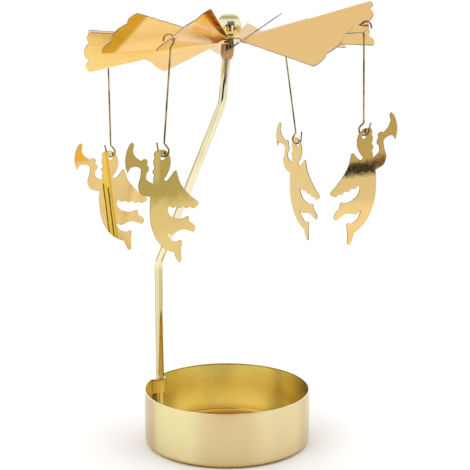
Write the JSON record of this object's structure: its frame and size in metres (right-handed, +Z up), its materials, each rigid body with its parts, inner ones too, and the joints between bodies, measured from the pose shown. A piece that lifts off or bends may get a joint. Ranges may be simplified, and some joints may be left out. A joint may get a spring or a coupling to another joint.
{
  "type": "candle carousel",
  "caption": "Tabletop candle carousel: a shallow candle cup, a bent pole held in its wall, and a bladed fan turning on a needle, with flat trumpet-blowing angels hung on hooked wires.",
  "frame": {"origin": "centre of the cup's underside, on the surface that it stands on", "axes": "+Z up; the picture looks along +Y with +X to its right; the pole stands at the cup's back left"},
  "size_m": [0.1136, 0.1076, 0.1582],
  "materials": {
    "champagne_gold": "pale satin gold plating with soft streaky reflections",
    "polished_gold": "mirror-bright gold sheet",
    "deep_gold": "darker polished bronze gold",
    "needle_steel": "bright drawn steel",
    "wire_gold": "fine drawn gold wire"
  },
  "bodies": {
    "cup": {"candle_cup": "champagne_gold"},
    "pole": {"pole": "champagne_gold", "needle_collar": "deep_gold", "pivot_needle": "needle_steel"},
    "rotor": {"ball_cap": "champagne_gold", "hub_bush": "deep_gold", "fan": "polished_gold"},
    "wire_left": {"hanger_wire_left": "wire_gold"},
    "figure_left": {"angel_left": "polished_gold"},
    "wire_front": {"hanger_wire_front": "wire_gold"},
    "figure_front": {"angel_front": "polished_gold"},
    "wire_right": {"hanger_wire_right": "wire_gold"},
    "figure_right": {"angel_right": "polished_gold"},
    "wire_rear": {"hanger_wire_rear": "wire_gold"},
    "figure_rear": {"angel_rear": "polished_gold"}
  },
  "joints": [
    {"name": "pole_lift", "type": "slide", "parent": "cup", "child": "pole", "axis": [0, 0, 1], "range_m": [0, 0.025]},
    {"name": "rotor_spin", "type": "hinge", "parent": "pole", "child": "rotor", "pos_m": [0.00093, -0.0004, 0.14835], "axis": [0, 0, 1], "continuous": true},
    {"name": "wire_swing_left", "type": "hinge", "parent": "rotor", "child": "wire_left", "pos_m": [-0.04247, 0.01626, 0.13859], "axis": [0.3575, 0.9339, 0], "range_deg": [-3, 25]},
    {"name": "wire_swing_front", "type": "hinge", "parent": "rotor", "child": "wire_front", "pos_m": [-0.01503, -0.04484, 0.14736], "axis": [-0.9482, 0.3178, 0], "range_deg": [-3, 25]},
    {"name": "wire_swing_right", "type": "hinge", "parent": "rotor", "child": "wire_right", "pos_m": [0.0449, -0.01755, 0.15058], "axis": [-0.364, -0.9314, 0], "range_deg": [-3, 25]},
    {"name": "wire_swing_rear", "type": "hinge", "parent": "rotor", "child": "wire_rear", "pos_m": [0.0197, 0.04262, 0.14123], "axis": [0.9077, -0.4196, 0], "range_deg": [-3, 25]},
    {"name": "figure_swing_left", "type": "hinge", "parent": "wire_left", "child": "figure_left", "pos_m": [-0.04285, 0.01626, 0.10195], "axis": [0.9455, -0.3256, 0], "range_deg": [-20, 20]},
    {"name": "figure_swing_front", "type": "hinge", "parent": "wire_front", "child": "figure_front", "pos_m": [-0.0189, -0.04484, 0.11054], "axis": [0.9925, -0.1219, 0], "range_deg": [-20, 20]},
    {"name": "figure_swing_right", "type": "hinge", "parent": "wire_right", "child": "figure_right", "pos_m": [0.04656, -0.01755, 0.11416], "axis": [-0.9511, 0.309, 0], "range_deg": [-20, 20]},
    {"name": "figure_swing_rear", "type": "hinge", "parent": "wire_rear", "child": "figure_rear", "pos_m": [0.02593, 0.04262, 0.10361], "axis": [0.9563, 0.2924, 0], "range_deg": [-20, 20]}
  ]
}
